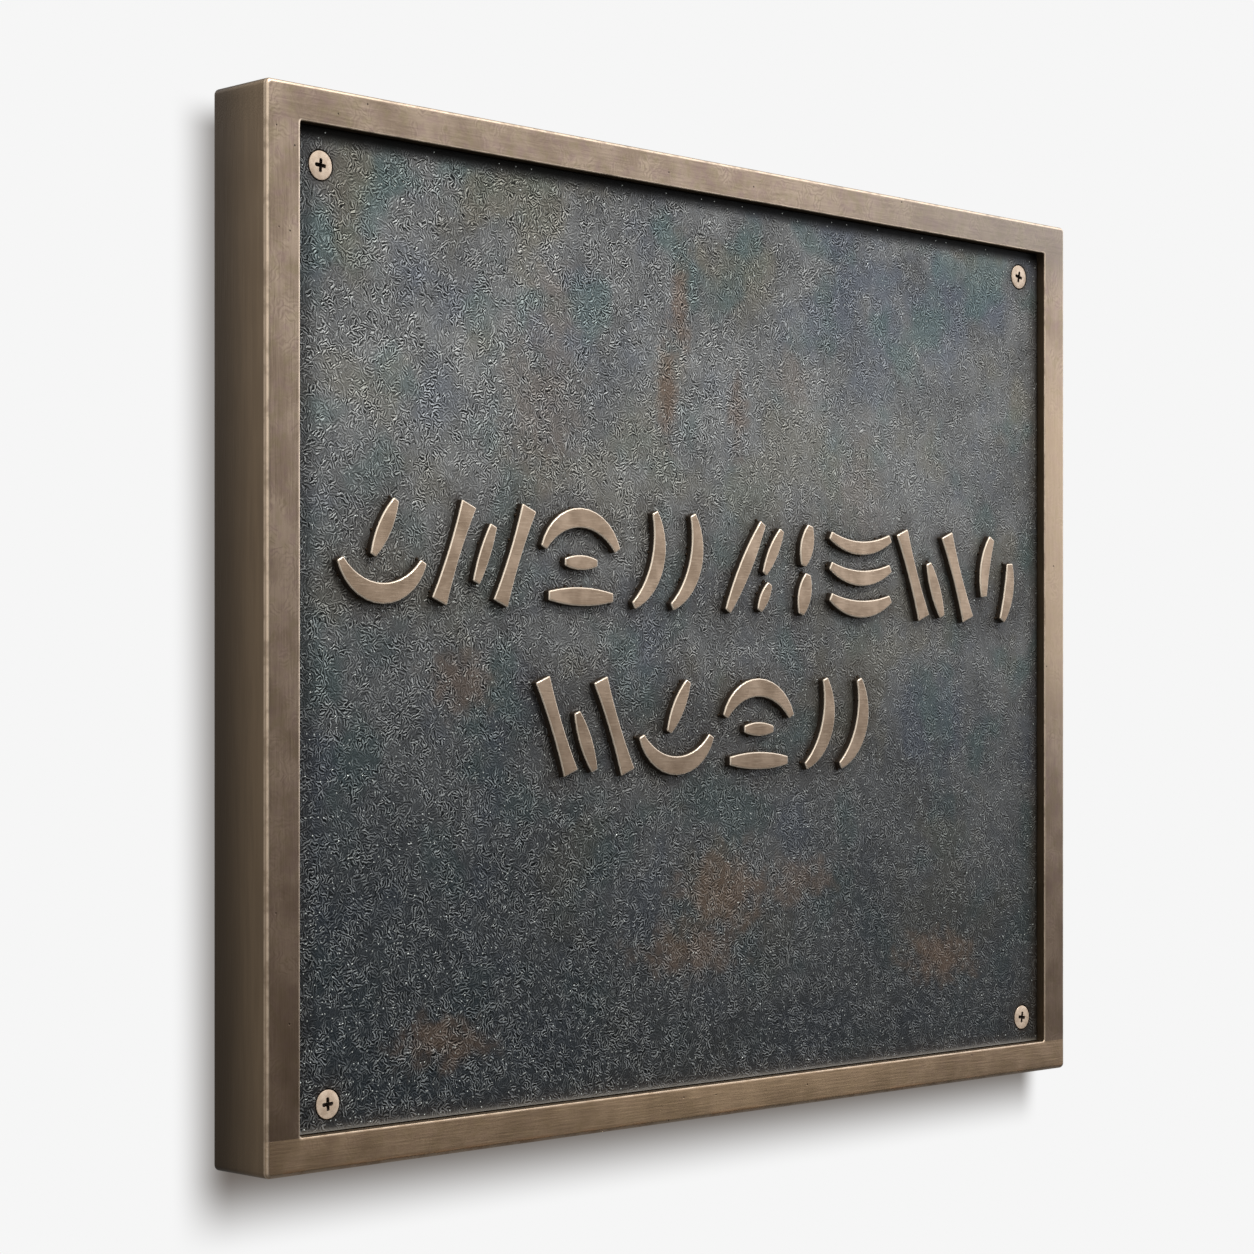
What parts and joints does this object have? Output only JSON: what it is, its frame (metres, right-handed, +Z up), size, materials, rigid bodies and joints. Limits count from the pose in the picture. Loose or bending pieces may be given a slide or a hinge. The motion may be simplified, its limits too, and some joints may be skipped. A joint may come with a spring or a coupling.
{
  "type": "address plaque",
  "caption": "Rectangular bronze wall plaque: a dark patinated cast plate with two rows of raised plain strokes, screwed at its corners into a satin bronze frame.",
  "frame": {"origin": "middle of the flat back face of the frame's top rail, where the plaque meets the wall", "axes": "+X to the right as the plaque is looked at, +Y into the wall, +Z up"},
  "size_m": [0.3048, 0.02, 0.2541],
  "materials": {
    "frame_bronze": "satin brown bronze, rubbed bright along its edges",
    "plate_bronze": "cast bronze with a dark blue-grey patina, its raised strokes sanded back to satin bronze",
    "screw_metal": "plain pale bronze, lightly brushed"
  },
  "bodies": {
    "root": {"frame": "frame_bronze", "face_plate": "plate_bronze", "screw_top_left": "screw_metal", "screw_top_right": "screw_metal", "screw_bottom_left": "screw_metal", "screw_bottom_right": "screw_metal"}
  },
  "joints": []
}
